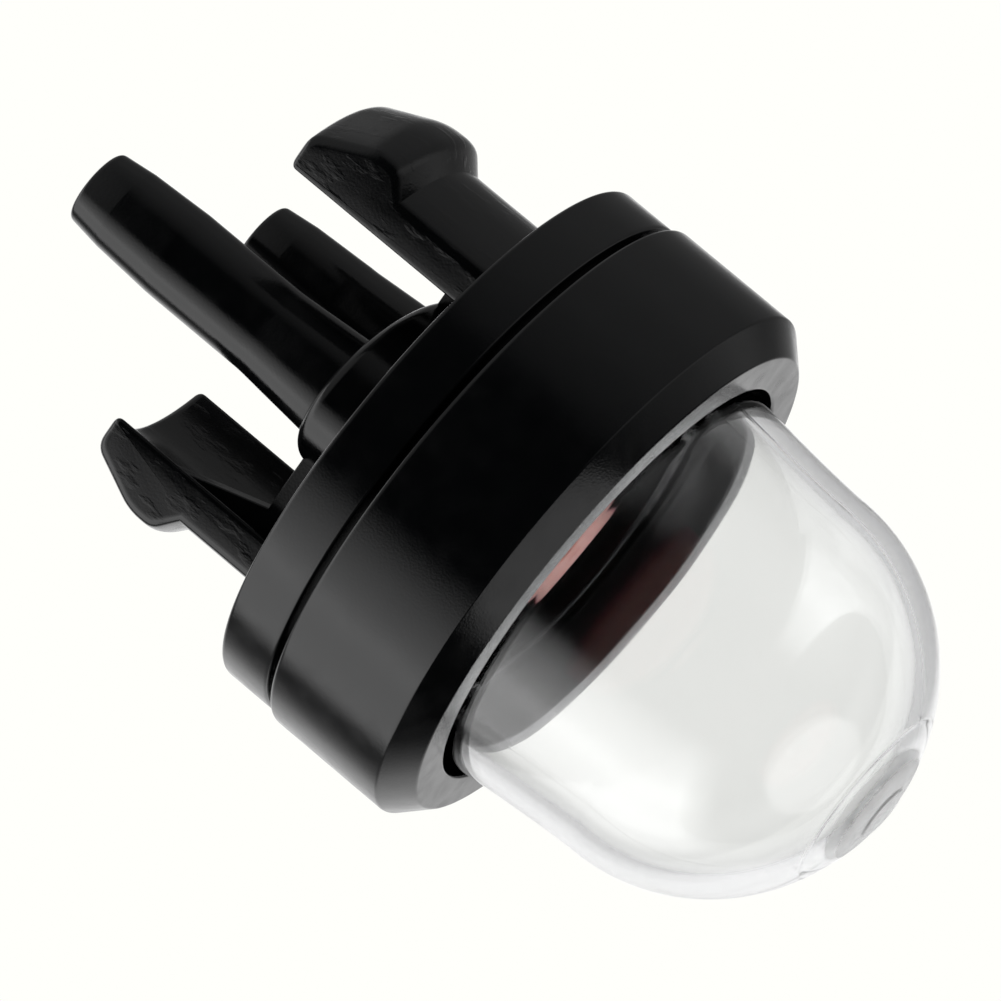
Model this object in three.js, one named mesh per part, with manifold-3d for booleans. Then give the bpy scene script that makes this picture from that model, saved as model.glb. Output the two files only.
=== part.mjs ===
// Snap-in fuel primer bulb of a small two-stroke engine: a black base moulding with two hose
// nipples and two snap legs, a silicone check valve, a clear squeeze bulb and a retaining collar.
// Millimetres. The axis of the bulb is Z with +Z towards the dome, and z = 0 is the plane of the
// panel that the part snaps into. The legs lie along X and the nipples along Y.
import * as THREE from 'three';
import { mergeVertices, toCreasedNormals } from 'three/addons/utils/BufferGeometryUtils.js';
import Module from 'manifold-3d';

const wasm = await Module();
wasm.setup();

// Fits
const slideFit = 0.05; // radial clearance of pieces that are pushed together
const looseFit = 0.2; // radial clearance round the soft bulb
const overlap = 0.6; // how far joined forms run into each other
const steps = 64; // facets round the large diameters
const boreSteps = 24; // facets round nipples and bores
const valveSteps = 48; // facets round the check valve
const curveSteps = 3; // facets in a small moulded radius

// Base moulding: plate, body and valve seat
const plateInset = 0.2; // the plate's edge, inside the collar's
const plateThickness = 2.07;
const plateEdge = 0.18; // radius of the plate's edges
const bodyRadius = 9.95; // round body inside the collar
const flangeSeat = 5.2; // height at which the bulb's flange sits
const spigotHeight = 1.3; // ring that locates the bulb, above the flange seat
const spigotWall = 0.85;
const spigotEdge = 0.18;
const recessDepth = 0.55; // valve seat, below the top of the spigot
const seatLand = 0.45; // between the valve's bore and the fuel groove under its umbrella
const grooveWidth = 0.95;
const grooveDepth = 0.35;

// Boss and nipples on the rear
const bossHalfX = 3.5;
const bossMargin = 0.4; // from a nipple's root to the end of the boss
const bossHeight = 2.97;
const bossEdge = 0.44;
const longNippleY = -2.3;
const shortNippleY = 4.3;
const longNippleEnd = 14.28; // distance of each tip behind the panel plane
const shortNippleEnd = 10.2;
const nippleRoot = 1.98; // radius where a nipple leaves the boss
const nippleRootHeight = 3.2; // the root tapers to the shank over this height
const nippleShank = 1.73;
const nippleTipWall = 0.44;
const nippleTipEdge = 0.2;
const nippleLead = 3.8; // length of the tapered lead-in
const nippleShoulder = 1.4; // length of the blunt nose within it
const nippleNose = 1.61; // radius where the nose meets the lead-in
const passageRadius = 1.0;

// Fuel passages inside the base
const valveBore = 1.5;
const valveBoreDepth = 7.2; // from the valve seat, a blind hole
const inletTop = 5.2; // top of the short nipple's passage
const outletTop = 2.3; // top of the long nipple's passage
const portRadius = 0.4; // slanted hole from the fuel groove to the short nipple's passage

// Snap legs: curved walls about the axis, cut to a strip, with a hook round the outside
const legOuter = 7.92;
const legThickness = 1.37;
const legHalfWidth = 3.65;
const legTipInset = 0.17; // the leg is this much thinner at its tip
const legInnerEdge = 0.09;
const legTopEdge = 0.3;
const hookReach = 0.82;
const hookRoot = 4.65; // distance of the hook behind the panel plane
const hookCatch = 0.7; // height of the catching slope
const hookLand = 1.05;
const hookLeadIn = 2.25; // height of the lead-in slope
const hookTopEdge = 0.6;
const hookBottomEdge = 0.3;
const webY = 1.8; // far face of the stiffening web, from the middle of the leg
const webThickness = 0.6;
const webTop = 6.8;
const webReach = 1.28; // how far the web stands in from the leg's inner face at its foot
const webFoot = 2.75; // height of the bar that joins the web to the boss

// Clear bulb
const bulbFlangeThickness = 1.3;
const bulbWall = 0.85;
const bulbCollarRadius = 8.24; // where the bulb leaves the collar
const bulbCapRadius = 7.82; // where the rounded cap starts
const bulbCapStart = 5.0; // ahead of the collar's front face
const bulbCapHeight = 7.5;
const gateDiscRadius = 2.3;
const gateDiscHeight = 0.07;
const gateRingRadius = 1.05;
const gateRingHeight = 0.12;
const gateRingWidth = 0.3;
const capSteps = 11;

// Retaining collar
const collarWall = 1.0; // skirt round the body
const collarGap = 0.33; // groove between plate and collar
const collarLip = 1.82; // thickness over the bulb's flange
const collarRearEdge = 0.35;
const collarChamferHeight = 1.0;
const collarChamferWidth = 1.0;
const collarChamferEdge = 0.18;
const collarOpeningGap = 0.335; // ring left open round the bulb
const collarOpeningEdge = 0.12;

// Check valve: umbrella with a duckbill stem
const umbrellaLap = 0.5; // how far it covers the seat beyond the fuel groove
const umbrellaRim = 0.33; // thickness at the rim
const umbrellaBevel = 0.9; // width of the slope round the flat top
const umbrellaRise = 0.12;
const stemWall = 0.65;
const stemLength = 3.4;
const duckbillLength = 1.7;
const duckbillTip = 0.5; // thickness across the lips
const slitWidth = 0.12;

// Heights and radii that follow from these
const spigotTop = flangeSeat + spigotHeight;
const valveSeat = spigotTop - recessDepth;
const flangeTop = flangeSeat + bulbFlangeThickness;
const bulbInner = bulbCollarRadius - bulbWall;
const spigotRadius = bulbInner - looseFit;
const collarBore = bodyRadius + slideFit;
const collarRadius = collarBore + collarWall;
const plateRadius = collarRadius - plateInset;
const collarRear = plateThickness + collarGap;
const collarFront = flangeTop + collarLip;
const collarOpening = bulbCollarRadius + collarOpeningGap;
const bulbFlangeRadius = collarBore - looseFit;
const grooveInner = valveBore + seatLand;
const grooveOuter = grooveInner + grooveWidth;
const grooveFloor = valveSeat - grooveDepth;
const nippleTip = passageRadius + nippleTipWall;
const legInner = legOuter - legThickness;
const hookRadius = legOuter + hookReach;
const hookBottom = hookRoot + hookCatch;
const hookTop = hookBottom + hookLand;
const legHeight = hookTop + hookLeadIn;
const umbrellaRadius = grooveOuter + umbrellaLap;
const bossCentreY = (longNippleY + shortNippleY) / 2;
const bossHalfY = (shortNippleY - longNippleY) / 2 + nippleRoot + bossMargin;

// An outline of [radius, height] corners as points; a corner with a third number is rounded.
function outline(corners) {
  const points = [];
  corners.forEach(([r, z, round = 0], i) => {
    const here = new THREE.Vector2(r, z);
    if (round === 0) {
      points.push(here);
      return;
    }
    const before = new THREE.Vector2(...corners[(i + corners.length - 1) % corners.length]);
    const after = new THREE.Vector2(...corners[(i + 1) % corners.length]);
    const start = before.sub(here).normalize();
    const end = after.sub(here).normalize();
    const reach = round / Math.tan(Math.acos(start.dot(end)) / 2);
    const from = here.clone().addScaledVector(start, reach);
    const to = here.clone().addScaledVector(end, reach);
    points.push(...new THREE.QuadraticBezierCurve(from, here, to).getPoints(curveSteps));
  });
  return points;
}

// A solid turned about Z from an outline that starts and ends on the axis, or closes on itself.
function turned(points, around = steps) {
  return solid(new THREE.LatheGeometry(points, around).rotateX(Math.PI / 2));
}

// A ring: its outline closes on itself.
function ring(corners) {
  const points = outline(corners);
  return turned([...points, points[0].clone()]);
}

// A plain round bar from one height to another.
function rod(radius, bottom, top, around = boreSteps) {
  return turned(outline([[0, bottom], [radius, bottom], [radius, top], [0, top]]), around);
}

// A plain round bar between two points.
function slantedRod(radius, from, to) {
  const along = to.clone().sub(from);
  const geometry = new THREE.CylinderGeometry(radius, radius, along.length(), boreSteps);
  const turn = new THREE.Quaternion().setFromUnitVectors(new THREE.Vector3(0, 1, 0), along.normalize());
  return solid(geometry.applyQuaternion(turn).translate(...from.clone().lerp(to, 0.5)));
}

// A flat outline in the XZ plane, drawn out along Y from one place to another.
function slab(corners, fromY, toY) {
  const shape = new THREE.Shape(corners.map(([x, z]) => new THREE.Vector2(x, z)));
  const geometry = new THREE.ExtrudeGeometry(shape, { depth: toY - fromY, bevelEnabled: false });
  return solid(geometry.rotateX(Math.PI / 2).translate(0, toY, 0));
}

// A closed geometry as a solid that can be joined and cut.
function solid(geometry) {
  geometry.deleteAttribute('normal');
  geometry.deleteAttribute('uv');
  const merged = mergeVertices(geometry);
  const corners = merged.index.array;
  const triangles = [];
  for (let i = 0; i < corners.length; i += 3) {
    const [a, b, c] = corners.subarray(i, i + 3);
    if (a !== b && b !== c && c !== a) triangles.push(a, b, c);
  }
  return new wasm.Manifold(new wasm.Mesh({
    numProp: 3,
    vertProperties: merged.attributes.position.array,
    triVerts: new Uint32Array(triangles),
  }));
}

function moved(body, x, y, z) {
  return body.translate([x, y, z]);
}

// The solid as a named mesh with a material of its own.
function piece(name, body, material) {
  const { vertProperties, triVerts } = body.getMesh();
  const geometry = new THREE.BufferGeometry();
  geometry.setAttribute('position', new THREE.BufferAttribute(vertProperties, 3));
  geometry.setIndex(new THREE.BufferAttribute(triVerts, 1));
  const smooth = toCreasedNormals(geometry, Math.PI / 6);
  const mesh = new THREE.Mesh(smooth, new THREE.MeshStandardMaterial(material));
  mesh.name = name;
  return mesh;
}

// Plate, round body and the ring that locates the bulb, with the valve's recess in it.
function basePlate() {
  return turned(outline([
    [0, 0],
    [plateRadius, 0, plateEdge],
    [plateRadius, plateThickness, plateEdge],
    [bodyRadius, plateThickness],
    [bodyRadius, flangeSeat],
    [spigotRadius, flangeSeat],
    [spigotRadius, spigotTop, spigotEdge],
    [spigotRadius - spigotWall, spigotTop],
    [spigotRadius - spigotWall, valveSeat],
    [grooveOuter, valveSeat],
    [grooveOuter, grooveFloor],
    [grooveInner, grooveFloor],
    [grooveInner, valveSeat],
    [0, valveSeat],
  ]));
}

// Oval boss that carries both nipples, rounded round its top.
function boss() {
  const shape = new THREE.Shape().absellipse(0, bossCentreY, bossHalfX, bossHalfY, 0, 2 * Math.PI);
  const geometry = new THREE.ExtrudeGeometry(shape, {
    depth: bossHeight + overlap,
    curveSegments: boreSteps,
    bevelSize: bossEdge,
    bevelOffset: -bossEdge,
    bevelThickness: bossEdge,
    bevelSegments: curveSteps,
  });
  return solid(geometry.translate(0, 0, bossEdge - bossHeight));
}

// Hose nipple: tapered root, straight shank and a lead-in with a rounded nose.
function nipple(y, end) {
  const body = turned(outline([
    [0, -end],
    [nippleTip, -end, nippleTipEdge],
    [nippleNose, nippleShoulder - end],
    [nippleShank, nippleLead - end],
    [nippleShank, -bossHeight - nippleRootHeight],
    [nippleRoot, -bossHeight],
    [nippleRoot, overlap],
    [0, overlap],
  ]), boreSteps);
  return moved(body, 0, y, 0);
}

// Snap leg on the +X side: hooked wall and the web that stiffens it against the boss.
function leg() {
  const wall = ring([
    [legInner, overlap],
    [legInner, -legHeight, legInnerEdge],
    [legOuter - legTipInset, -legHeight, legTopEdge],
    [hookRadius, -hookTop, hookTopEdge],
    [hookRadius, -hookBottom, hookBottomEdge],
    [legOuter, -hookRoot],
    [legOuter, overlap],
  ]);
  const strip = slab([
    [0, overlap],
    [0, -legHeight - overlap],
    [plateRadius, -legHeight - overlap],
    [plateRadius, overlap],
  ], -legHalfWidth, legHalfWidth);
  const web = slab([
    [legInner + slideFit, overlap],
    [legInner + slideFit, -webTop],
    [legInner - slideFit, -webTop],
    [legInner - webReach, -webFoot],
    [0, -webFoot],
    [0, overlap],
  ], -webY, webThickness - webY);
  return wall.intersect(strip).add(web);
}

function base() {
  const legs = leg().add(leg().rotate([0, 0, 180]));
  const body = basePlate()
    .add(boss())
    .add(nipple(longNippleY, longNippleEnd))
    .add(nipple(shortNippleY, shortNippleEnd))
    .add(legs);
  const outlet = moved(rod(passageRadius, -longNippleEnd - overlap, outletTop), 0, longNippleY, 0);
  const inlet = moved(rod(passageRadius, -shortNippleEnd - overlap, inletTop), 0, shortNippleY, 0);
  const port = slantedRod(
    portRadius,
    new THREE.Vector3(0, (grooveInner + grooveOuter) / 2, grooveFloor),
    new THREE.Vector3(0, shortNippleY, inletTop - passageRadius),
  );
  const bore = rod(valveBore, valveSeat - valveBoreDepth, valveSeat + overlap);
  return body.subtract(outlet).subtract(inlet).subtract(port).subtract(bore);
}

// Umbrella on a tubular stem whose end is pinched to a slit.
function checkValve() {
  const stem = valveBore - slideFit;
  const stemBore = stem - stemWall;
  const stemEnd = valveSeat - stemLength;
  const billEnd = stemEnd - duckbillLength;
  const rimTop = valveSeat + umbrellaRim;
  const body = turned(outline([
    [0, billEnd],
    [stem, billEnd],
    [stem, valveSeat],
    [umbrellaRadius, valveSeat],
    [umbrellaRadius, rimTop],
    [umbrellaRadius - umbrellaBevel, rimTop + umbrellaRise],
    [0, rimTop + umbrellaRise],
  ]), valveSteps);
  const taper = (tip, top) => slab([
    [-tip / 2, billEnd - overlap],
    [tip / 2, billEnd - overlap],
    [tip / 2, billEnd],
    [top, stemEnd],
    [top, rimTop + overlap],
    [-top, rimTop + overlap],
    [-top, stemEnd],
    [-tip / 2, billEnd],
  ], -2 * umbrellaRadius, 2 * umbrellaRadius);
  const lips = taper(duckbillTip, stem).add(rod(2 * umbrellaRadius, stemEnd, rimTop + overlap));
  const channel = rod(stemBore, billEnd - overlap, rimTop + overlap).intersect(taper(slitWidth, stemBore));
  return body.intersect(lips).subtract(channel);
}

// Radii and heights of the rounded cap from its start to the apex.
function capOutline(radius, height, start, fromRadius = 0) {
  const last = Math.acos(fromRadius / radius);
  return Array.from({ length: capSteps + 1 }, (_, i) => {
    const angle = (last * i) / capSteps;
    return [radius * Math.cos(angle), start + height * Math.sin(angle)];
  });
}

// Clear bulb: flange, sleeve, rounded cap with the gate mark, and the hollow inside.
function bulb() {
  const capStart = collarFront + bulbCapStart;
  const outerCap = capOutline(bulbCapRadius, bulbCapHeight, capStart, gateDiscRadius);
  const discTop = outerCap.at(-1)[1] + gateDiscHeight;
  const gateTop = capStart + bulbCapHeight + gateRingHeight;
  const innerCap = capOutline(bulbCapRadius - bulbWall, bulbCapHeight - bulbWall, capStart);
  const corners = [
    [bulbInner, flangeSeat],
    [bulbFlangeRadius, flangeSeat],
    [bulbFlangeRadius, flangeTop],
    [bulbCollarRadius, flangeTop],
    [bulbCollarRadius, collarFront],
    ...outerCap,
    [gateDiscRadius, discTop],
    [gateRingRadius + gateRingWidth, gateTop - gateRingHeight],
    [gateRingRadius, gateTop],
    [gateRingRadius - gateRingWidth, gateTop - gateRingHeight],
    [0, gateTop - gateRingHeight],
    ...innerCap.reverse(),
    [bulbInner, collarFront],
    [bulbInner, flangeSeat],
  ];
  return turned(outline(corners));
}

// Collar: skirt round the base, lip over the flange and a chamfered front.
function retainingCollar() {
  return ring([
    [collarBore, collarRear],
    [collarRadius, collarRear, collarRearEdge],
    [collarRadius, collarFront - collarChamferHeight, collarChamferEdge],
    [collarRadius - collarChamferWidth, collarFront, collarChamferEdge],
    [collarOpening, collarFront, collarOpeningEdge],
    [collarOpening, flangeTop],
    [collarBore, flangeTop],
  ]);
}

const blackNylon = { color: 0x0b0c0e, roughness: 0.3, metalness: 0 };
const primerBulb = new THREE.Group();
primerBulb.add(piece('base', base(), blackNylon));
primerBulb.add(piece('check_valve', checkValve(), { color: 0xe0a3a0, roughness: 0.45, metalness: 0 }));
primerBulb.add(piece('bulb', bulb(), {
  color: 0xf2f3ee,
  roughness: 0.08,
  metalness: 0,
  transparent: true,
  opacity: 0.35,
}));
primerBulb.add(piece('retaining_collar', retainingCollar(), { ...blackNylon, roughness: 0.25 }));

export default primerBulb;
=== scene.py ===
import math
import bpy
import numpy as np
from mathutils import Matrix, Vector


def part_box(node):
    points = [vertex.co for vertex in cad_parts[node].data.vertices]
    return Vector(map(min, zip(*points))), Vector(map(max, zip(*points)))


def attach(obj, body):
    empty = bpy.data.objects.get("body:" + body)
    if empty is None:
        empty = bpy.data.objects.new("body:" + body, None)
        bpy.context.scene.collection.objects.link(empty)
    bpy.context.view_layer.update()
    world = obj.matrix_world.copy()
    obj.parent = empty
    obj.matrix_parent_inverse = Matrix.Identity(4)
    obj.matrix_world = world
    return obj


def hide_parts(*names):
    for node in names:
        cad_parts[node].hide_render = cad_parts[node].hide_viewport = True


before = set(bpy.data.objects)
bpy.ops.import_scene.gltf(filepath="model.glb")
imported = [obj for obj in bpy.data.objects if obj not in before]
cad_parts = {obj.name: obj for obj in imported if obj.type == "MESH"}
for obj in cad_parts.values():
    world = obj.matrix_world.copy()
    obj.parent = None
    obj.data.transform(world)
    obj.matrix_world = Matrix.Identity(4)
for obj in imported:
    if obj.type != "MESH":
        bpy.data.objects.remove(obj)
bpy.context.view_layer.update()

# Primer bulb: a clear squeeze dome in a black collar, on a base with two hose nipples and two snap legs.
# Sizes in the dictionaries are millimetres in the part's own frame: z = 0 is the panel that the base
# sits on, +z runs along the axis to the dome's apex, the legs lie along x and the nipples along y.
metre = 0.001
fine = 288                 # columns round the large turned pieces
small = 96                 # columns round nipples, passages and valve
arcSteps = 7               # points in each rounded corner
slabRows = 15              # rows along a slab between its rounded ends
jointRun = 0.6             # how far joined forms run into each other


def boxMm(node):
    low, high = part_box(node)
    return np.array(low) / metre, np.array(high) / metre


baseLow, baseHigh = boxMm("base")
collarLow, collarHigh = boxMm("retaining_collar")
bulbLow, bulbHigh = boxMm("bulb")
valveLow, valveHigh = boxMm("check_valve")
collarFront = collarHigh[2]


# A corner list [r, z, round] as a smooth line: a corner with a third number becomes a quadratic arc
# that leaves and meets its two straight sides at the same distance.
def roundedLine(corners):
    points = []
    for i, (r, z, *rest) in enumerate(corners):
        here = np.array([r, z], float)
        if not rest:
            points.append(here[None])
            continue
        before = np.array(corners[i - 1][:2], float) - here
        after = np.array(corners[(i + 1) % len(corners)][:2], float) - here
        before /= np.linalg.norm(before)
        after /= np.linalg.norm(after)
        reach = rest[0] / math.tan(math.acos(np.clip(before @ after, -1, 1)) / 2)
        t = np.linspace(0, 1, arcSteps)[:, None]
        points.append(here + reach * ((1 - t) ** 2 * before + t ** 2 * after))
    return np.concatenate(points)


# A grid of points [row, column, xyz] as a closed mesh. Columns close on themselves. Rows close on
# themselves too, or end in a pole where a row has shrunk to one point, or else in one flat face.
def gridPiece(name, grid, rowsClose=False):
    rows, columns = grid.shape[:2]
    isPole = [not rowsClose and np.ptp(grid[end], axis=0).max() < 1e-6 for end in (0, -1)]
    first, last = int(isPole[0]), rows - int(isPole[1])
    body = grid[first:last]
    index = np.arange(len(body) * columns).reshape(len(body), columns)
    rings = np.concatenate([index, index[:1]]) if rowsClose else index
    a, b = rings[:-1], rings[1:]
    faces = np.stack([a, np.roll(a, -1, 1), np.roll(b, -1, 1), b], -1).reshape(-1, 4).tolist()
    points = body.reshape(-1, 3)
    for pole, edge, end in ((isPole[0], index[0, ::-1], 0), (isPole[1], index[-1], -1)):
        if pole:
            tip = np.full(columns, len(points))
            points = np.concatenate([points, grid[end, :1]])
            faces += np.stack([edge, np.roll(edge, -1), tip], -1).tolist()
        elif not rowsClose:
            faces.append(edge.tolist())
    mesh = bpy.data.meshes.new(name)
    mesh.from_pydata((points * metre).tolist(), [], faces)
    mesh.update()
    piece = bpy.data.objects.new(name, mesh)
    bpy.context.scene.collection.objects.link(piece)
    facesOut(mesh)
    return piece


# Turns the faces of a closed mesh outwards: its volume, the sum of a . (b x c) over its triangles,
# is positive then.
def facesOut(mesh):
    mesh.calc_loop_triangles()
    corners = np.zeros(len(mesh.loop_triangles) * 3, np.int32)
    mesh.loop_triangles.foreach_get("vertices", corners)
    places = np.zeros(len(mesh.vertices) * 3, np.float32)
    mesh.vertices.foreach_get("co", places)
    a, b, c = places.reshape(-1, 3).astype(float)[corners.reshape(-1, 3)].transpose(1, 0, 2)
    if np.einsum("ij,ij->i", a, np.cross(b, c)).sum() < 0:
        mesh.flip_normals()


# A line [r, z] turned round the axis: x = r cos a and y = r sin a, moved to its centre.
def turnedGrid(line, angles, centre=(0, 0)):
    r, z = line[:, :1], line[:, 1:]
    grid = np.stack([r * np.cos(angles), r * np.sin(angles), z + 0 * angles], -1)
    return grid + np.array([*centre, 0])


# The angles 2 pi i / n of one full turn.
def evenAngles(columns):
    return np.arange(columns) / columns * 2 * math.pi


# A corner list [r, z], rounded off and turned round an axis at its centre.
def turnedPiece(name, corners, columns=fine, centre=(0, 0), rowsClose=False):
    return gridPiece(name, turnedGrid(roundedLine(corners), evenAngles(columns), centre), rowsClose)


# A straight bar along z: one radius from its bottom to its top.
def rodPiece(name, radius, bottom, top, centre=(0, 0)):
    return turnedPiece(name, [[0, bottom], [radius, bottom], [radius, top], [0, top]], small, centre)


# A bar between two points: start + t (end - start), plus radius times a circle square to it.
def slantedRodPiece(name, radius, start, end):
    start, end = np.array(start, float), np.array(end, float)
    along = (end - start) / np.linalg.norm(end - start)
    side = np.cross(along, [1, 0, 0])
    angles = evenAngles(small)[:, None]
    circle = radius * (np.cos(angles) * np.array([1, 0, 0]) + np.sin(angles) * side)
    return gridPiece(name, np.stack([start + circle, end + circle]))


# A closed outline [x, z] drawn out along y with rounded ends: over each end the outline is drawn in
# by edge (1 - cos a) while y moves on by edge sin a. Bent round the axis, x becomes sqrt(x^2 - y^2).
def slabPiece(name, corners, yLow, yHigh, edge, bent=False, halfTurn=False):
    line = roundedLine(corners)
    step = np.roll(line, -1, 0) - np.roll(line, 1, 0)
    outward = np.stack([step[:, 1], -step[:, 0]], -1) / np.linalg.norm(step, axis=1, keepdims=True)
    area = np.sum(line[:, 0] * np.roll(line[:, 1], -1) - np.roll(line[:, 0], -1) * line[:, 1])
    outward *= np.sign(area)
    turn = np.linspace(0, math.pi / 2, arcSteps)
    middle = np.linspace(yLow + edge, yHigh - edge, slabRows)[1:-1]
    lowEnd = yLow + edge - edge * np.sin(turn[::-1])
    highEnd = yHigh - edge + edge * np.sin(turn)
    y = np.concatenate([lowEnd, middle, highEnd])
    inset = np.concatenate([edge * (1 - np.cos(turn[::-1])), 0 * middle, edge * (1 - np.cos(turn))])
    flat = line[None] - inset[:, None, None] * outward[None]
    x = np.sqrt(flat[..., 0] ** 2 - y[:, None] ** 2) if bent else flat[..., 0]
    grid = np.stack([x, y[:, None] + 0 * x, flat[..., 1]], -1)
    return gridPiece(name, grid * np.array([-1, -1, 1]) if halfTurn else grid)


# Joins and cuts closed meshes with booleans and keeps only the result.
def joinedAndCut(piece, added, cut):
    for operation, others in (("UNION", added), ("DIFFERENCE", cut)):
        for other in others:
            step = piece.modifiers.new(other.name, "BOOLEAN")
            step.operation = operation
            step.solver = "MANIFOLD"
            step.object = other
    bpy.context.view_layer.update()
    whole = piece.evaluated_get(bpy.context.evaluated_depsgraph_get())
    result = bpy.data.meshes.new_from_object(whole)
    piece.modifiers.clear()
    piece.data = result
    for other in (*added, *cut):
        bpy.data.objects.remove(other)


# Gives a piece its material, smooth faces with sharp edges past the crease angle, and its body,
# and hides the CAD node that it replaces.
def finishPiece(piece, material, node, creaseDegrees=28):
    mesh = piece.data
    mesh.materials.clear()
    mesh.materials.append(material)
    mesh.polygons.foreach_set("use_smooth", np.ones(len(mesh.polygons), bool))
    mesh.set_sharp_from_angle(angle=math.radians(creaseDegrees))
    mesh.update()
    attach(piece, "root")
    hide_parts(node)
    print("made", piece.name, "with", len(mesh.polygons), "faces")


# A function that adds a node to a tree, with its inputs set or linked.
def nodeAdder(tree):
    def add(kind, inputs, **choices):
        node = tree.nodes.new(kind)
        for key, value in choices.items():
            setattr(node, key, value)
        for key, value in inputs.items():
            if isinstance(value, bpy.types.NodeSocket):
                tree.links.new(value, node.inputs[key])
            else:
                node.inputs[key].default_value = value
        return node

    return add


# A new material, a function that adds its nodes, and one that links a value to its shader.
def newMaterial(name, settings):
    material = bpy.data.materials.new(name)
    material.use_nodes = True
    tree = material.node_tree
    shader = tree.nodes["Principled BSDF"]
    for socket, value in settings.items():
        shader.inputs[socket].default_value = value
    add = nodeAdder(tree)

    def feed(socket, value):
        tree.links.new(value, shader.inputs[socket])

    return material, add, feed


# Noise on the object's own coordinates: size is the width of a blotch in millimetres, and squeeze
# multiplies the three axes.
def blotches(add, size, detail=2.0, squeeze=(1, 1, 1)):
    place = add("ShaderNodeTexCoord", {}).outputs["Object"]
    squeezed = add("ShaderNodeMapping", {"Vector": place, "Scale": squeeze}).outputs["Vector"]
    look = {"Vector": squeezed, "Scale": 1 / (size * metre), "Detail": detail}
    noise = add("ShaderNodeTexNoise", look)
    return noise.outputs["Fac"]


def ranged(add, value, fromLow, fromHigh, toLow, toHigh):
    limits = {"From Min": fromLow, "From Max": fromHigh, "To Min": toLow, "To Max": toHigh}
    return add("ShaderNodeMapRange", {"Value": value, **limits}).outputs["Result"]


def maths(add, operation, a, b=0.0):
    return add("ShaderNodeMath", {0: a, 1: b}, operation=operation).outputs["Value"]


# Distance from the part's axis: the length of (x, y, 0).
def axisDistance(add):
    place = add("ShaderNodeTexCoord", {}).outputs["Object"]
    flat = add("ShaderNodeVectorMath", {0: place, 1: (1, 1, 0)}, operation="MULTIPLY").outputs["Vector"]
    return add("ShaderNodeVectorMath", {0: flat}, operation="LENGTH").outputs["Value"]


# One of two colours, or a blend of them, by a factor.
def blended(add, factor, low, high):
    ramp = add("ShaderNodeValToRGB", {"Fac": factor})
    ramp.color_ramp.elements[0].color = (*low, 1)
    ramp.color_ramp.elements[1].color = (*high, 1)
    return ramp.outputs["Color"]


# Heights in millimetres as a bump.
def bumped(add, height):
    return add("ShaderNodeBump", {"Height": height, "Distance": metre, "Strength": 1.0}).outputs["Normal"]


print("tools ready")


# Materials

nylonLook = {
    "dark": (0.0006, 0.0007, 0.0009),
    "light": (0.0015, 0.0017, 0.002),
    "mottle": 1.4,
    "roughLow": 0.1,
    "roughHigh": 0.21,
    "patch": 0.9,
    "pit": 0.09,
    "pitDepth": 0.0035,
    "wave": 4.5,
    "waveDepth": 0.02,
    "scuff": 0.5,
    "scuffStretch": (1, 1, 0.4),
    "scuffDepth": 0.008,
    "scuffsBelow": (-0.2, -1.2),    # heights between which the scuffs set in
    "scuffsFrom": (5.8, 6.1),       # distances from the axis, which leave the nipples smooth
}
satinLook = {
    "above": (-0.03, 0.02),         # heights round the collar's front face where the satin sets in
    "rough": 0.12,
}
polyurethaneLook = {
    "shader": {
        "Transmission Weight": 1.0, "IOR": 1.49, "Base Color": (0.985, 0.99, 0.993, 1),
        "Coat Weight": 0.4, "Coat IOR": 1.6, "Coat Roughness": 0.03,
    },
    "polish": (0.02, 0.05),
    "patch": 1.8,
    "frost": 0.28,
    "frostEdge": (2.15, 2.3),       # distances from the axis where the frosted disc ends
    "wave": 5.0,
    "waveDepth": 0.02,
}
siliconeLook = {
    "shader": {
        "IOR": 1.41, "Subsurface Weight": 0.3, "Subsurface Radius": (0.0012, 0.0005, 0.0004),
        "Subsurface Scale": 1.0,
    },
    "dark": (0.66, 0.27, 0.25),
    "light": (0.86, 0.5, 0.46),
    "mottle": 0.8,
    # painted shade: the darker magenta mixed in towards the umbrella's rim
    "rim": (0.34, 0.05, 0.09, 1),
    "paintedShadeFade": (0.55, 0.05),        # distances in from the rim where the painted shade sets in
    "rough": (0.35, 0.55),
    "patch": 0.3,
    "pit": 0.15,
    "pitDepth": 0.008,
}


# Every gloss varies in patches: noise between its middle values gives roughness between two.
def patchyGloss(add, size, detail, low, high):
    return ranged(add, blotches(add, size, detail), 0.3, 0.7, low, high)


# Moulded nylon in millimetres: fine pits plus slow waves that bend its reflections.
def mouldedHeight(add, look):
    pits = maths(add, "MULTIPLY", blotches(add, look["pit"], 3), look["pitDepth"])
    waves = maths(add, "MULTIPLY", blotches(add, look["wave"], 1), look["waveDepth"])
    return maths(add, "ADD", pits, waves)


# The object's own height.
def heightOf(add):
    place = add("ShaderNodeTexCoord", {}).outputs["Object"]
    return add("ShaderNodeSeparateXYZ", {"Vector": place}).outputs["Z"]


# A rise from one value to another between two distances in millimetres.
def between(add, value, limits, low, high):
    return ranged(add, value, limits[0] * metre, limits[1] * metre, low, high)


# Black nylon: a faint mottle, patchy gloss, moulded pits and waves, and scuffs drawn out along the legs
# below the plate.
def blackNylon(name, look):
    material, add, feed = newMaterial(name, {"IOR": 1.5})
    feed("Base Color", blended(add, blotches(add, look["mottle"], 4), look["dark"], look["light"]))
    feed("Roughness", patchyGloss(add, look["patch"], 5, look["roughLow"], look["roughHigh"]))
    below = between(add, heightOf(add), look["scuffsBelow"], 0, look["scuffDepth"])
    onLegs = between(add, axisDistance(add), look["scuffsFrom"], 0, 1)
    streaks = ranged(add, blotches(add, look["scuff"], 6, look["scuffStretch"]), 0.55, 0.68, 0, 1)
    scuffs = maths(add, "MULTIPLY", maths(add, "MULTIPLY", streaks, below), onLegs)
    feed("Normal", bumped(add, maths(add, "ADD", mouldedHeight(add, look), scuffs)))
    return material


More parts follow.
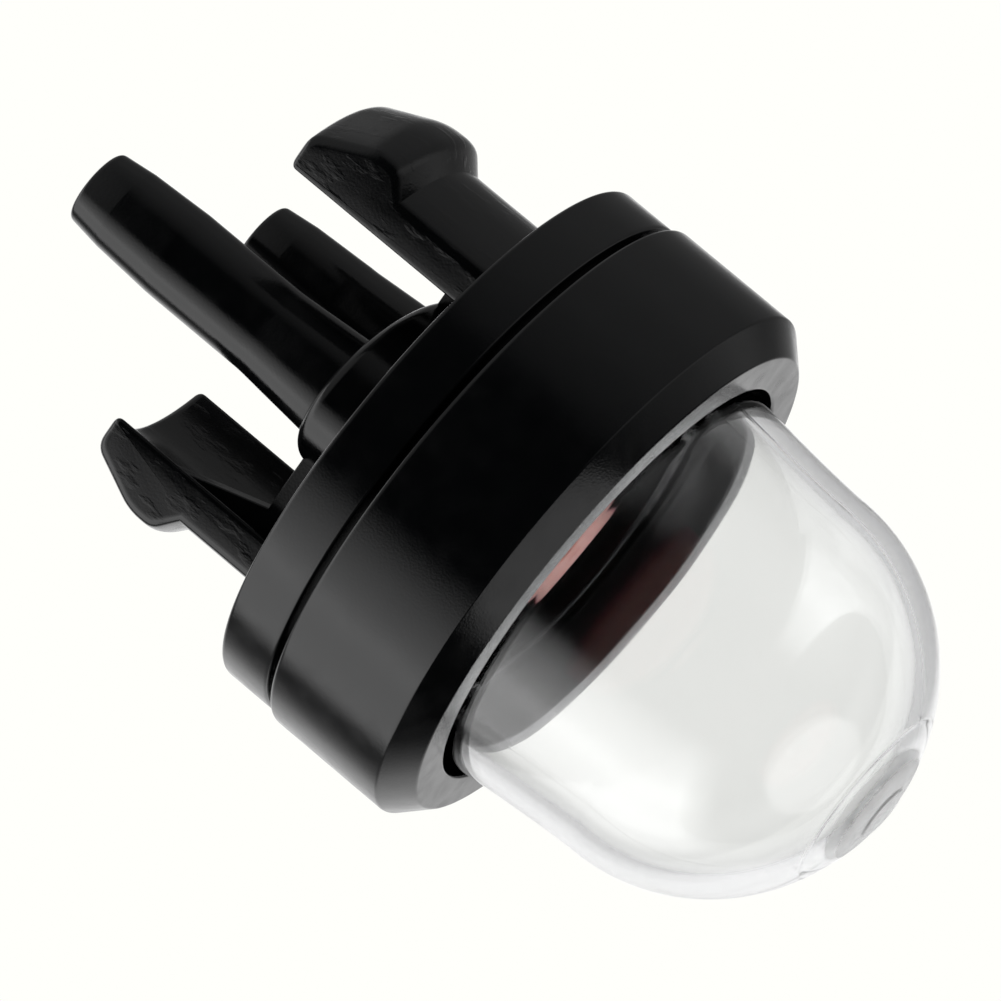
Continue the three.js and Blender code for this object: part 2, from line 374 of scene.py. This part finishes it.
# The collar is the same nylon without scuffs, and its front face is satin: above the chamfer the
# roughness rises with height.
def collarNylon(name, look, satin):
    material, add, feed = newMaterial(name, {"IOR": 1.5})
    feed("Base Color", blended(add, blotches(add, look["mottle"], 4), look["dark"], look["light"]))
    limits = [collarFront + height for height in satin["above"]]
    duller = between(add, heightOf(add), limits, 0.0, satin["rough"])
    gloss = patchyGloss(add, look["patch"], 5, look["roughLow"], look["roughHigh"])
    feed("Roughness", maths(add, "ADD", gloss, duller))
    feed("Normal", bumped(add, mouldedHeight(add, look)))
    return material


# Clear polyurethane with slow waves in the moulded surface, and a frosted disc round the gate.
def clearPolyurethane(look):
    material, add, feed = newMaterial("clearPolyurethane", look["shader"])
    polish = patchyGloss(add, look["patch"], 3, *look["polish"])
    frost = between(add, axisDistance(add), look["frostEdge"], look["frost"], 0)
    feed("Roughness", maths(add, "ADD", polish, frost))
    feed("Normal", bumped(add, maths(add, "MULTIPLY", blotches(add, look["wave"], 1), look["waveDepth"])))
    return material


# Pink silicone: matt, a little see-through and mottled, with painted shade darkening it towards the
# umbrella's thin rim.
def pinkSilicone(look, rimRadius):
    material, add, feed = newMaterial("pinkSilicone", look["shader"])
    limits = [rimRadius - distance for distance in look["paintedShadeFade"]]
    paintedShadeMask = between(add, axisDistance(add), limits, 0, 1)
    pale = blended(add, blotches(add, look["mottle"], 4), look["dark"], look["light"])
    # painted shade: the mottled pink is blended towards the darker magenta near the rim
    mixed = add("ShaderNodeMixRGB", {"Fac": paintedShadeMask, "Color1": pale, "Color2": look["rim"]})
    feed("Base Color", mixed.outputs["Color"])
    feed("Roughness", patchyGloss(add, look["patch"], 3, *look["rough"]))
    feed("Normal", bumped(add, maths(add, "MULTIPLY", blotches(add, look["pit"], 3), look["pitDepth"])))
    return material


baseMaterial = blackNylon("blackMoulding", nylonLook)
collarMaterial = collarNylon("blackCollar", nylonLook, satinLook)
bulbMaterial = clearPolyurethane(polyurethaneLook)
valveMaterial = pinkSilicone(siliconeLook, valveHigh[0])
print("materials ready")


# Base moulding

baseSizes = {
    "plateThickness": 2.14,
    "plateEdge": 0.18,
    "bodyRadius": 9.95,
    "flangeSeat": 5.2,
    "spigotRadius": 7.19,
    "spigotWall": 0.85,
    "valveSeat": 5.95,
    "grooveInner": 1.95,
    "grooveOuter": 2.9,
    "grooveFloor": 5.6,
    "bossHalfX": 3.5,
    "bossHalfY": 5.68,
    "bossHeight": 2.97,
    "bossEdge": 0.44,
    "longNippleY": -2.3,
    "shortNippleY": 4.3,
    "shortNippleEnd": 10.2,
    "nippleRoot": 1.98,
    "nippleRootHeight": 3.2,
    "nippleShank": 1.73,
    "nippleTip": 1.44,
    "nippleTipEdge": 0.2,
    "nippleLead": 3.8,
    "nippleShoulder": 1.4,
    "nippleNose": 1.61,
    "noseRound": 0.8,
    "shankRound": 3.0,
    "rootRound": 6.0,
    "passageRadius": 1.0,
    "inletTop": 5.2,
    "outletTop": 2.3,
    "portRadius": 0.4,
    "valveBore": 1.5,
    "valveBoreBottom": -1.25,
}
legSizes = {
    "inner": 6.55,
    "outer": 7.92,
    "halfWidth": 3.65,
    "height": 8.65,
    "tipInset": 0.17,
    "innerEdge": 0.3,
    "topEdge": 0.65,
    "sideEdge": 0.27,
    "hookReach": 0.82,
    "hookRoot": 4.65,
    "hookBottom": 5.35,
    "hookTop": 6.4,
    "hookTopEdge": 2.4,
    "hookBottomEdge": 0.75,
    "webY": 1.8,
    "webThickness": 0.6,
    "webTop": 6.8,
    "webReach": 1.28,
    "webFoot": 2.75,
    "webEdge": 0.06,
    "webOverlap": 0.1,         # how far the web runs into the leg's wall
    "webLip": 0.05,            # how far its top stands out from it
}


# Oval boss: an ellipse of half axes a and b with its upper edge rolled in, x = (a - d) cos t and
# y = (b - d) sin t, where d grows as the edge turns.
def bossPiece(s):
    turn = np.linspace(0, math.pi / 2, 3 * arcSteps)
    inset = np.concatenate([[0], s["bossEdge"] * (1 - np.cos(turn))])
    height = np.concatenate([[jointRun], s["bossEdge"] * (1 - np.sin(turn)) - s["bossHeight"]])
    t = evenAngles(fine)
    middleY = (s["longNippleY"] + s["shortNippleY"]) / 2
    x = (s["bossHalfX"] - inset[:, None]) * np.cos(t)
    y = (s["bossHalfY"] - inset[:, None]) * np.sin(t) + middleY
    return gridPiece("boss", np.stack([x, y, height[:, None] + 0 * x], -1))


# Nipple: a line [r, z] turned round its own axis at (0, y). From its end it widens over a nose and a
# lead to the shank, and flares to its root at the boss.
def nipplePiece(name, y, end, s):
    return turnedPiece(name, [
        [0, -end],
        [s["nippleTip"], -end, s["nippleTipEdge"]],
        [s["nippleNose"], s["nippleShoulder"] - end, s["noseRound"]],
        [s["nippleShank"], s["nippleLead"] - end, s["shankRound"]],
        [s["nippleShank"], -s["bossHeight"] - s["nippleRootHeight"], s["rootRound"]],
        [s["nippleRoot"], -s["bossHeight"]],
        [s["nippleRoot"], jointRun],
        [0, jointRun],
    ], small, (0, y))


# Snap leg: the outline [x, z] of wall and hook drawn along y and bent round the axis, and the outline
# of a tapering web drawn along y. A half turn takes (x, y) to (-x, -y).
def legPieces(name, s, halfTurn):
    wall = slabPiece(name + "Wall", [
        [s["inner"], jointRun],
        [s["inner"], -s["height"], s["innerEdge"]],
        [s["outer"] - s["tipInset"], -s["height"], s["topEdge"]],
        [s["outer"] + s["hookReach"], -s["hookTop"], s["hookTopEdge"]],
        [s["outer"] + s["hookReach"], -s["hookBottom"], s["hookBottomEdge"]],
        [s["outer"], -s["hookRoot"]],
        [s["outer"], jointRun],
    ], -s["halfWidth"], s["halfWidth"], s["sideEdge"], bent=True, halfTurn=halfTurn)
    web = slabPiece(name + "Web", [
        [s["inner"] + s["webOverlap"], jointRun],
        [s["inner"] + s["webOverlap"], -s["webTop"]],
        [s["inner"] - s["webLip"], -s["webTop"]],
        [s["inner"] - s["webReach"], -s["webFoot"]],
        [0, -s["webFoot"]],
        [0, jointRun],
    ], -s["webY"], s["webThickness"] - s["webY"], s["webEdge"], halfTurn=halfTurn)
    return [wall, web]


# Base: a line [r, z] of plate, body, spigot, recess and groove turned round the axis, joined to the
# boss, nipples and legs, and cut by the passages, the valve's bore and the port.
def baseMoulding(s, leg):
    radius, top, tip = baseHigh[0], baseHigh[2], -baseLow[2]
    recess = s["spigotRadius"] - s["spigotWall"]
    piece = turnedPiece("base_moulding", [
        [0, 0],
        [radius, 0, s["plateEdge"]],
        [radius, s["plateThickness"], s["plateEdge"]],
        [s["bodyRadius"], s["plateThickness"]],
        [s["bodyRadius"], s["flangeSeat"]],
        [s["spigotRadius"], s["flangeSeat"]],
        [s["spigotRadius"], top, s["plateEdge"]],
        [recess, top, s["plateEdge"]],
        [recess, s["valveSeat"]],
        [s["grooveOuter"], s["valveSeat"]],
        [s["grooveOuter"], s["grooveFloor"]],
        [s["grooveInner"], s["grooveFloor"]],
        [s["grooveInner"], s["valveSeat"]],
        [0, s["valveSeat"]],
    ])
    added = [
        bossPiece(s),
        nipplePiece("longNipple", s["longNippleY"], tip, s),
        nipplePiece("shortNipple", s["shortNippleY"], s["shortNippleEnd"], s),
        *legPieces("plusLeg", leg, False),
        *legPieces("minusLeg", leg, True),
    ]
    passage = s["passageRadius"]
    grooveMiddle = (s["grooveInner"] + s["grooveOuter"]) / 2
    cut = [
        rodPiece("outlet", passage, -tip - jointRun, s["outletTop"], (0, s["longNippleY"])),
        rodPiece("inlet", passage, -s["shortNippleEnd"] - jointRun, s["inletTop"], (0, s["shortNippleY"])),
        rodPiece("bore", s["valveBore"], s["valveBoreBottom"], s["valveSeat"] + jointRun),
        slantedRodPiece("port", s["portRadius"], (0, grooveMiddle, s["grooveFloor"]),
                        (0, s["shortNippleY"], s["inletTop"] - passage)),
    ]
    joinedAndCut(piece, added, cut)
    finishPiece(piece, baseMaterial, "base")


baseMoulding(baseSizes, legSizes)


# Check valve

valveSizes = {
    "rim": 0.1,
    "bevel": 1.7,
    "stem": 1.45,
    "bore": 0.8,
    "stemLength": 3.4,
    "billTip": 0.5,
    "slit": 0.12,
    "edge": 0.08,
    "bevelEdge": 0.3,
    "seatGap": 0.02,           # air between the umbrella and its seat
}


# Umbrella and duckbill in one: a line turned round the axis, whose x is held between -h and h below
# the stem, where h falls evenly to half the bill's tip.
def checkValve(s):
    radius, top, billEnd = valveHigh[0], valveHigh[2], valveLow[2]
    seat = baseSizes["valveSeat"]
    stemEnd = seat - s["stemLength"]
    outside = roundedLine([
        [s["bore"], top, s["edge"]],
        [radius - s["bevel"], top, s["bevelEdge"]],
        [radius, seat + s["rim"], s["edge"]],
        [radius, seat + s["seatGap"], s["seatGap"]],
        [s["stem"], seat + s["seatGap"]],
        [s["stem"], stemEnd],
        [s["stem"], billEnd],
        [s["bore"], billEnd],
        [s["bore"], stemEnd],
    ])
    isBore = np.arange(len(outside)) >= len(outside) - 2
    grid = turnedGrid(outside, evenAngles(small))
    z = grid[..., 2]
    down = np.clip((stemEnd - z) / (stemEnd - billEnd), 0, 1)
    half = np.where(isBore[:, None], s["bore"] + down * (s["slit"] / 2 - s["bore"]),
                    s["stem"] + down * (s["billTip"] / 2 - s["stem"]))
    below = z <= stemEnd + 1e-6
    grid[..., 0] = np.where(below, np.clip(grid[..., 0], -half, half), grid[..., 0])
    piece = gridPiece("valve_umbrella", grid, rowsClose=True)
    finishPiece(piece, valveMaterial, "check_valve")


checkValve(valveSizes)


# Clear bulb

bulbSizes = {
    "clear": 0.03,             # air left between the bulb and the pieces that hold it
    "flangeTop": 6.5,
    "wall": 0.85,
    "collarRadius": 8.24,
    "capRadius": 7.82,
    "capStart": 5.0,
    "capHeight": 7.5,
    "sleevePower": 1.35,
    "sleeveRows": 24,
    "innerCapRows": 90,
    "outerCapRows": 420,
    "footEdge": 0.1,
    "flangeEdge": 0.15,
    "neckEdge": 0.2,
    "discRadius": 2.3,
    "discHeight": 0.03,
    "discEdge": 0.1,
    "nubRadius": 1.05,
    "nubHeight": 0.05,
    "nubEdge": 0.04,
    "witnessRadius": 3.5,
    "witnessDepth": 0.013,
    "witnessWidth": 0.06,
    "flashDegrees": -176,      # direction of the mould's parting line
    "flashHeight": 0.012,
    "flashWidth": 0.09,
    "flashFade": 1.5,
    "flashFan": 3,             # degrees to each side of it with finer columns
    "flashStep": 0.15,
}


# Sleeve and cap of one wall as [r, z]. The sleeve draws in by (1 - s / capStart) to a power over the
# distance s from the collar's face, and the cap is a quarter ellipse.
def wallLine(s, wall, capPoints):
    ahead = np.linspace(0, s["capStart"], s["sleeveRows"])[:-1]
    draft = s["collarRadius"] - s["capRadius"]
    sleeve = np.stack([
        s["capRadius"] - wall + draft * (1 - ahead / s["capStart"]) ** s["sleevePower"],
        collarFront + ahead,
    ], -1)
    turn = np.linspace(0, math.pi / 2, capPoints)
    cap = np.stack([
        (s["capRadius"] - wall) * np.cos(turn),
        collarFront + s["capStart"] + (s["capHeight"] - wall) * np.sin(turn),
    ], -1)
    cap[-1, 0] = 0
    return np.concatenate([sleeve, cap])


# The gate's marks lift the cap by amounts that depend on the radius alone: a low disc, a small nub on
# it, and a fine sunk witness line round them.
def gateRelief(s, r):
    disc = s["discHeight"] / (1 + np.exp((r - s["discRadius"]) / s["discEdge"]))
    nub = s["nubHeight"] / (1 + np.exp((r - s["nubRadius"]) / s["nubEdge"]))
    witness = s["witnessDepth"] * np.exp(-((r - s["witnessRadius"]) / s["witnessWidth"]) ** 2)
    return disc + nub - witness


# The wall line turned round the axis. The mould's parting line scales x and y up by a ridge h over the
# radius, h = height times exp(-(d / width)^2), where d is the distance from its plane.
def clearBulb(s):
    inner = wallLine(s, s["wall"], s["innerCapRows"])
    outer = wallLine(s, 0, s["outerCapRows"])
    outer[:, 1] += np.where(outer[:, 1] > collarFront + s["capStart"], gateRelief(s, outer[:, 0]), 0)
    foot = roundedLine([
        [inner[0, 0], collarFront],
        [inner[0, 0], bulbLow[2] + s["clear"], s["footEdge"]],
        [bulbHigh[0] - s["clear"], bulbLow[2] + s["clear"], s["flangeEdge"]],
        [bulbHigh[0] - s["clear"], s["flangeTop"] - s["clear"], s["flangeEdge"]],
        [s["collarRadius"], s["flangeTop"] - s["clear"], s["neckEdge"]],
        [s["collarRadius"], collarFront],
    ])[1:-1]
    line = np.concatenate([inner[::-1], foot, outer])
    isOutside = np.arange(len(line)) >= len(inner) + len(foot)
    flash = math.radians(s["flashDegrees"])
    near = np.radians(np.arange(-s["flashFan"], s["flashFan"] + 0.01, s["flashStep"]))
    finer = [(flash + side + near) % (2 * math.pi) for side in (0, math.pi)]
    angles = np.unique(np.concatenate([evenAngles(fine), *finer]).round(6))
    grid = turnedGrid(line, angles)
    distance = np.abs(line[:, :1] * np.sin(angles - flash))
    ridge = s["flashHeight"] * np.exp(-(distance / s["flashWidth"]) ** 2)
    fade = np.clip((line[:, :1] - s["discRadius"]) / s["flashFade"], 0, 1) * isOutside[:, None]
    scale = 1 + ridge * fade / np.maximum(line[:, :1], 1)
    grid[..., :2] *= scale[..., None]
    piece = gridPiece("clear_bulb", grid)
    finishPiece(piece, bulbMaterial, "bulb")


clearBulb(bulbSizes)


# Retaining collar

collarSizes = {
    "bore": 10.0,
    "rearEdge": 0.2,
    "chamfer": 1.0,
    "chamferEdge": 0.18,
    "opening": 8.575,
    "openingEdge": 0.12,
    "lipUnderside": 6.5,
}


# Collar: a closed line [r, z] of bore, skirt, chamfer and lip turned round the axis.
def retainingCollar(s):
    radius, rear = collarHigh[0], collarLow[2]
    piece = turnedPiece("collar_ring", [
        [s["bore"], rear],
        [radius, rear, s["rearEdge"]],
        [radius, collarFront - s["chamfer"], s["chamferEdge"]],
        [radius - s["chamfer"], collarFront, s["chamferEdge"]],
        [s["opening"], collarFront, s["openingEdge"]],
        [s["opening"], s["lipUnderside"]],
        [s["bore"], s["lipUnderside"]],
    ], rowsClose=True)
    finishPiece(piece, collarMaterial, "retaining_collar")


retainingCollar(collarSizes)


# Camera and studio

view = {
    "azimuth": 20.0,            # degrees that the view is turned about the axis
    "elevation": 12.61,
    "roll": 50.1,               # the dome points down to the right
    "distance": 350.0,
    "lens": 364.66,
    "right": 3.751,             # the frame's centre, from the middle of the collar's front face
    "up": -2.904,
}


# The camera stands at a distance along the direction given by azimuth and elevation, turned about
# that line by its roll.
def makeCamera(v):
    turn, tilt, roll = (math.radians(v[key]) for key in ("azimuth", "elevation", "roll"))
    level = Vector((-math.cos(turn), math.sin(turn), 0))
    back = Vector((-math.cos(tilt) * math.sin(turn), -math.cos(tilt) * math.cos(turn), math.sin(tilt)))
    upright = back.cross(level)
    right = level * math.cos(roll) - upright * math.sin(roll)
    up = level * math.sin(roll) + upright * math.cos(roll)
    middle = Vector((0, 0, collarFront))
    place = (middle - v["right"] * right - v["up"] * up + v["distance"] * back) * metre
    camera = bpy.data.objects.new("camera", bpy.data.cameras.new("camera"))
    camera.data.lens = v["lens"]
    camera.data.clip_start = 0.01
    camera.matrix_world = Matrix.Translation(place) @ Matrix((right, up, back)).transposed().to_4x4()
    bpy.context.scene.collection.objects.link(camera)
    bpy.context.scene.camera = camera


studio = {
    "white": (1.0, 1.0, 0.965),
    "floorDepth": 0.22,         # metres below the panel plane
    "floorRadius": 9.0,
    "floorThickness": 0.01,
    # What the gloss sees round the horizon: degrees from the camera's side, and brightness
    "round": [
        (-180, 1.0), (-146, 0.9), (-136, 0.42), (-126, 0.13), (-117, 0.15), (-109, 1.35), (-85, 1.75),
        (-76, 2.1), (-66, 1.5), (-50, 0.9), (-42, 0.5), (-34, 0.03), (-29, 0.0), (34, 0.0), (39, 0.04),
        (47, 0.1), (75, 0.2), (105, 0.2), (127, 0.13), (152, 0.11), (164, 0.25), (173, 1.0), (180, 1.0),
    ],
    # Heights are sines of the angle above the horizon, from where a light starts to where it is full
    "roundFade": (0.45, 0.7),
    "overhead": 0.9,
    "overheadFrom": (0.918, 0.938),
    "overheadSlant": 0.056,     # how much higher it starts to the right
    "upperRight": 0.25,
    "upperRightFrom": (0.35, 0.7),
    "upperRightAbove": (0.3, 0.5),
    "below": 0.32,
    "belowFrom": (-0.35, -0.6),
    "throughDome": 1.1,         # how much brighter the backdrop is through the dome
    "besideDome": 0.72,         # what the dome's edges pick up from the sides and from behind
    "besideFrom": (85, 110),    # degrees from the camera's side
}


# The studio as a world: the camera and what is seen straight through the dome get the pale backdrop, and
# every path with a reflection in it gets brightness by direction: bands round the horizon, one light
# overhead, a weak one high on the right and one below. Inside the dome such paths see pale sides too.
def makeStudio(s, turned):
    world = bpy.data.worlds.new("studio")
    bpy.context.scene.world = world
    world.use_nodes = True
    tree = world.node_tree
    tree.nodes.clear()
    add = nodeAdder(tree)
    direction = add("ShaderNodeTexCoord", {}).outputs["Generated"]
    facing = add("ShaderNodeMapping", {
        "Vector": direction, "Rotation": (0, 0, math.radians(turned)), "Scale": (-1, -1, 1),
    }).outputs["Vector"]
    axes = add("ShaderNodeSeparateXYZ", {"Vector": facing})
    angle = maths(add, "ARCTAN2", axes.outputs["X"], axes.outputs["Y"])
    ramp = add("ShaderNodeValToRGB", {"Fac": ranged(add, angle, -math.pi, math.pi, 0, 1)})
    bands = ramp.color_ramp
    while len(bands.elements) > 1:
        bands.elements.remove(bands.elements[0])
    for i, (degrees, level) in enumerate(s["round"]):
        place = (degrees + 180) / 360
        stop = bands.elements[0] if i == 0 else bands.elements.new(place)
        stop.position = place
        stop.color = (level, level, level, 1)
    height = axes.outputs["Z"]
    dimmed = maths(add, "MULTIPLY", ramp.outputs["Color"], ranged(add, height, *s["roundFade"], 1, 0))
    across = axes.outputs["X"]
    slanted = maths(add, "SUBTRACT", height, maths(add, "MULTIPLY", across, s["overheadSlant"]))
    top = ranged(add, slanted, *s["overheadFrom"], 0, s["overhead"])
    rightward = ranged(add, across, *s["upperRightFrom"], 0, s["upperRight"])
    patch = maths(add, "MULTIPLY", rightward, ranged(add, height, *s["upperRightAbove"], 0, 1))
    bottom = ranged(add, height, *s["belowFrom"], 0, s["below"])
    above = maths(add, "ADD", maths(add, "ADD", dimmed, top), patch)
    rays = add("ShaderNodeLightPath", {})
    inside = maths(add, "MINIMUM", rays.outputs["Transmission Depth"], 1.0)
    fromSides = [math.radians(degrees) for degrees in s["besideFrom"]]
    beside = ranged(add, maths(add, "ABSOLUTE", angle), *fromSides, 0, s["besideDome"])
    lights = maths(add, "MAXIMUM", above, bottom)
    upper = maths(add, "MAXIMUM", lights, maths(add, "MULTIPLY", inside, beside))
    mirrored = maths(add, "MINIMUM", rays.outputs["Glossy Depth"], 1.0)
    gloss = add("ShaderNodeBackground", {"Color": (1, 1, 1, 1), "Strength": upper})
    backdrop = ranged(add, inside, 0, 1, 1, s["throughDome"])
    pale = add("ShaderNodeBackground", {"Color": (*s["white"], 1), "Strength": backdrop})
    seen = {0: mirrored, 1: pale.outputs["Background"], 2: gloss.outputs["Background"]}
    add("ShaderNodeOutputWorld", {"Surface": add("ShaderNodeMixShader", seen).outputs["Shader"]})


# A pale floor well below the part, which is held by its panel. Paths with a reflection in them pass it.
def makeFloor(s):
    top, bottom = -s["floorDepth"] / metre, -(s["floorDepth"] + s["floorThickness"]) / metre
    radius = s["floorRadius"] / metre
    floor = turnedPiece("floor", [[0, top], [radius, top], [radius, bottom], [0, bottom]], small)
    material, add, feed = newMaterial("paleFloor", {
        "Roughness": 1.0, "Specular IOR Level": 0.0, "Emission Strength": 1.0,
        "Emission Color": (*s["white"], 1), "Base Color": (0, 0, 0, 1),
    })
    rays = add("ShaderNodeLightPath", {})
    mirrored = maths(add, "MINIMUM", rays.outputs["Glossy Depth"], 1.0)
    feed("Alpha", maths(add, "SUBTRACT", 1.0, mirrored))
    floor.data.materials.append(material)
    floor.visible_glossy = False


makeCamera(view)
makeStudio(studio, view["azimuth"])
makeFloor(studio)
bpy.context.scene.view_settings.view_transform = "Standard"
print("camera and studio ready")
